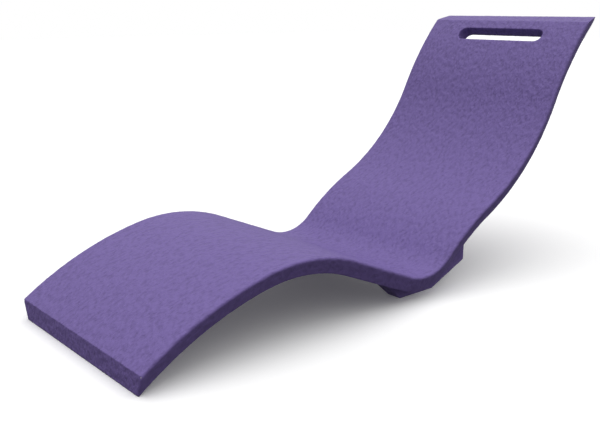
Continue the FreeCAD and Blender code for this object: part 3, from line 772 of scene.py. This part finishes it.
# The distances from a cell's middle where the foam's own colour ends and the darker one is whole
PORE_NEAR, PORE_FAR = 0.1, 0.8
FIBRE_DARK, FIBRE_LIGHT = (0.55, 0.50, 0.33), (0.72, 0.68, 0.50)
FIBRE_SCALE, FIBRE_LINES = 60, (0.05, 4, 4)
FIBRE_ROUGHNESS = 0.35
RESIN_GLOSS = 0.3
METAL_DARK, METAL_LIGHT = (0.62, 0.63, 0.65), (0.78, 0.79, 0.81)
METAL_SCALE, STRAP_LINES, RIVET_LINES = 50, (8, 0.3, 8), (3, 3, 3)
METAL_ROUGHNESS = 0.38
# The part of a noise's range that the two colours of a laminate or a metal are spread over
LOW_STOP, HIGH_STOP = 0.3, 0.7


def foam(name, colour, pores):
    """Round cells, darker away from their middles, with a bump of the same distance."""
    material, tree, shader = new_material(name)
    shader.inputs["Roughness"].default_value = FOAM_ROUGHNESS
    cells = add_node(tree, "ShaderNodeTexVoronoi", feature="SMOOTH_F1")
    cells.inputs["Scale"].default_value = pores
    place = add_node(tree, "ShaderNodeTexCoord").outputs["Object"]
    tree.links.new(place, cells.inputs["Vector"])
    darker = tuple(PORE_SHADE * c for c in colour)
    tint = colours(tree, cells.outputs["Distance"], ((PORE_NEAR, colour), (PORE_FAR, darker)))
    tree.links.new(tint, shader.inputs["Base Color"])
    pitted = bump(tree, cells.outputs["Distance"], strength=0.4, distance=0.001)
    tree.links.new(pitted, shader.inputs["Normal"])
    return material


def glass_fibre():
    """A noise drawn out along the lounger and squeezed across it, as fibres, in a gloss of resin."""
    material, tree, shader = new_material("glass_fibre_laminate")
    shader.inputs["Roughness"].default_value = FIBRE_ROUGHNESS
    shader.inputs["Coat Weight"].default_value = RESIN_GLOSS
    fibres = noise(tree, FIBRE_SCALE, detail=4, rough=0.7, place=stretched(tree, FIBRE_LINES))
    tint = colours(tree, fibres, ((LOW_STOP, FIBRE_DARK), (HIGH_STOP, FIBRE_LIGHT)))
    tree.links.new(tint, shader.inputs["Base Color"])
    ribbed = bump(tree, fibres, strength=0.2, distance=0.0005)
    tree.links.new(ribbed, shader.inputs["Normal"])
    return material


def rolled_aluminium(name, drawn_out):
    """A noise in the colour and the bump. Where its scales differ it is drawn out into the fine
    lines of rolling, and where they are the same it is even."""
    material, tree, shader = new_material(name)
    shader.inputs["Metallic"].default_value = 1.0
    lines = noise(tree, METAL_SCALE, detail=4, rough=0.6, place=stretched(tree, drawn_out))
    tint = colours(tree, lines, ((LOW_STOP, METAL_DARK), (HIGH_STOP, METAL_LIGHT)))
    tree.links.new(tint, shader.inputs["Base Color"])
    shader.inputs["Roughness"].default_value = METAL_ROUGHNESS
    scored = bump(tree, lines, strength=0.15, distance=0.0003)
    tree.links.new(scored, shader.inputs["Normal"])
    return material


finishes = {
    "top_foam": foam("soft_white_foam", FOAM_WHITE, SOFT_PORES),
    "core_foam": foam("firm_grey_foam", FOAM_GREY, FIRM_PORES),
    "stiffener_bar": glass_fibre(),
    "cross_strap": rolled_aluminium("strap_aluminium", STRAP_LINES),
    "rivets": rolled_aluminium("rivet_aluminium", RIVET_LINES),
}
finishes["rail_foam"] = finishes["core_foam"]
for node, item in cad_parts.items():
    for start, finish in finishes.items():
        if node.startswith(start):
            item.data.materials.clear()
            item.data.materials.append(finish)
            print(node, "->", finish.name)

# %% [markdown]
# ## The floor
# A plain white floor would throw light up onto the lounger and flatten its shaded side. So the
# floor looks at what kind of ray meets it: it is white for the camera and nearly black for light
# on its way to a piece. A faint glow keeps its shadows pale.

# %% Floor
FLOOR_SIZE = 40.0
FLOOR_TO_CAMERA = (1.0, 1.0, 1.0)
FLOOR_TO_PIECES = (0.05, 0.05, 0.05)
FLOOR_GLOW = 0.05
WHITE = (1, 1, 1, 1)


def white_floor():
    """A level square, its middle under the lounger's, with no gloss."""
    mesh = bpy.data.meshes.new("floor")
    half = FLOOR_SIZE / 2
    mesh.from_pydata([(-half, -half, 0), (half, -half, 0), (half, half, 0), (-half, half, 0)], [],
                     [(0, 1, 2, 3)])
    floor = bpy.data.objects.new("floor", mesh)
    bpy.context.collection.objects.link(floor)
    material, tree, shader = new_material("floor_white")
    shader.inputs["Roughness"].default_value = 1.0
    shader.inputs["Specular IOR Level"].default_value = 0.0
    seen = add_node(tree, "ShaderNodeLightPath").outputs["Is Camera Ray"]
    shader.inputs["Emission Color"].default_value = WHITE
    shader.inputs["Emission Strength"].default_value = FLOOR_GLOW
    tint = colours(tree, seen, ((0.0, FLOOR_TO_PIECES), (1.0, FLOOR_TO_CAMERA)))
    tree.links.new(tint, shader.inputs["Base Color"])
    mesh.materials.append(material)
    return floor


floor = white_floor()
print("floor:", FLOOR_SIZE, "m square")

# %% [markdown]
# ## The light
# One wide, soft light from almost overhead shows the relief without hard shadows. The sky fills in
# from the two ends of the lounger more than from its sides, so the ends stay light and the long
# side falls into shade. The camera sees plain white in place of that sky.

# %% Light
SKY_HORIZON = (0.24, 0.24, 0.24)
SKY_TOP = (1.12, 1.12, 1.12)
# How much a direction's X, Y and Z, without their signs, each brighten the sky there
SKY_BRIGHTEST = (0.33, 0.0, 1.0)
# A Mix node has sockets for every kind of value; these are its factor, its two colours and result
MIX_FACTOR, MIX_FIRST, MIX_SECOND, MIX_RESULT = 0, 6, 7, 2
SUN_STRENGTH = 0.64
SUN_WIDTH = math.radians(60)
SUN_LEAN = math.radians(2)

world = bpy.data.worlds.new("studio")
bpy.context.scene.world = world
world.use_nodes = True
sky_tree = world.node_tree
direction = add_node(sky_tree, "ShaderNodeTexCoord").outputs["Generated"]
either_way = add_node(sky_tree, "ShaderNodeVectorMath", operation="ABSOLUTE")
sky_tree.links.new(direction, either_way.inputs[0])
towards = add_node(sky_tree, "ShaderNodeVectorMath", operation="DOT_PRODUCT")
sky_tree.links.new(either_way.outputs["Vector"], towards.inputs[0])
towards.inputs[1].default_value = SKY_BRIGHTEST
dome = colours(sky_tree, towards.outputs["Value"], ((0.0, SKY_HORIZON), (1.0, SKY_TOP)))
seen = add_node(sky_tree, "ShaderNodeLightPath").outputs["Is Camera Ray"]
both = add_node(sky_tree, "ShaderNodeMix", data_type="RGBA")
sky_tree.links.new(seen, both.inputs[MIX_FACTOR])
sky_tree.links.new(dome, both.inputs[MIX_FIRST])
both.inputs[MIX_SECOND].default_value = WHITE
sky_tree.links.new(both.outputs[MIX_RESULT], sky_tree.nodes["Background"].inputs["Color"])

sun = bpy.data.lights.new("sun", "SUN")
sun.angle = SUN_WIDTH
sun.energy = SUN_STRENGTH
sun_object = bpy.data.objects.new("sun", sun)
bpy.context.collection.objects.link(sun_object)
sun_object.rotation_euler = (0, SUN_LEAN, 0)
print(f"light: {math.degrees(SUN_WIDTH):.0f} degrees wide, {math.degrees(SUN_LEAN):.0f} from upright")

# %% [markdown]
# ## The camera
# The camera stands beyond the foot end and to the left, about as high as the headrest, and looks
# slightly down. A heading and a tilt are easier to read than a rotation, so the rotation is worked
# out from them. The plain view transform keeps white white.

# %% Camera
CAMERA_PLACE = (-1.7313, -1.8373, 0.8643)
CAMERA_HEADING = math.radians(49.47)
CAMERA_TILT = math.radians(-14.09)
LENS_LENGTH = 48.49
SENSOR_WIDTH = 36.0

lens = bpy.data.cameras.new("camera")
lens.lens = LENS_LENGTH
lens.sensor_width = SENSOR_WIDTH
camera = bpy.data.objects.new("camera", lens)
camera.location = CAMERA_PLACE
camera.rotation_euler = (math.pi / 2 + CAMERA_TILT, 0, CAMERA_HEADING - math.pi / 2)
bpy.context.collection.objects.link(camera)
bpy.context.scene.camera = camera
bpy.context.scene.view_settings.view_transform = "Standard"
print(f"camera: {math.hypot(*CAMERA_PLACE):.2f} m from the middle of the lounger's floor")
